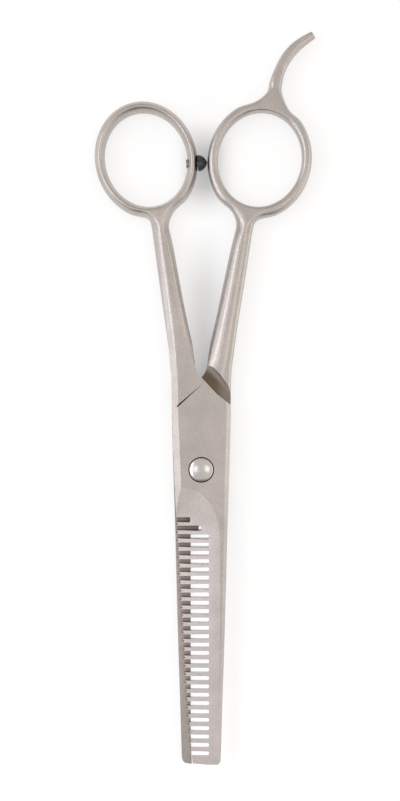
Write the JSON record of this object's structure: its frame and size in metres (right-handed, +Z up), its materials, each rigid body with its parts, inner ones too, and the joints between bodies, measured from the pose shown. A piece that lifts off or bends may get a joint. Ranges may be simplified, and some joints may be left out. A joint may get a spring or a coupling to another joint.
{
  "type": "thinning shears",
  "caption": "Closed hair-thinning shears: a comb blade over a plain blade on a domed pivot screw, with offset finger rings, a curved finger rest and a rubber bumper.",
  "frame": {"origin": "bottom centre of the closed pair's bounding box, on the table that it lies on", "axes": "+Y along the shears from the blade tips to the finger rings, +Z up, out of the comb half's outer face and along the pivot's axis, +X to the side of the ring with the finger rest"},
  "size_m": [0.055, 0.183, 0.0058],
  "materials": {
    "satin_steel": "satin, blasted and lightly polished stainless steel",
    "bright_steel": "bright turned stainless steel",
    "black_rubber": "black moulded rubber"
  },
  "bodies": {
    "rear_half": {"plain_half": "satin_steel", "pivot_screw": "bright_steel", "tension_washer": "bright_steel", "pivot_nut": "bright_steel"},
    "front_half": {"toothed_half": "satin_steel", "bumper_head": "black_rubber", "bumper_stud": "bright_steel"}
  },
  "joints": [
    {"name": "pivot", "type": "hinge", "parent": "rear_half", "child": "front_half", "pos_m": [-0.0009, -0.01784, 0.0025], "axis": [0, 0, 1], "range_deg": [0, 130]}
  ]
}
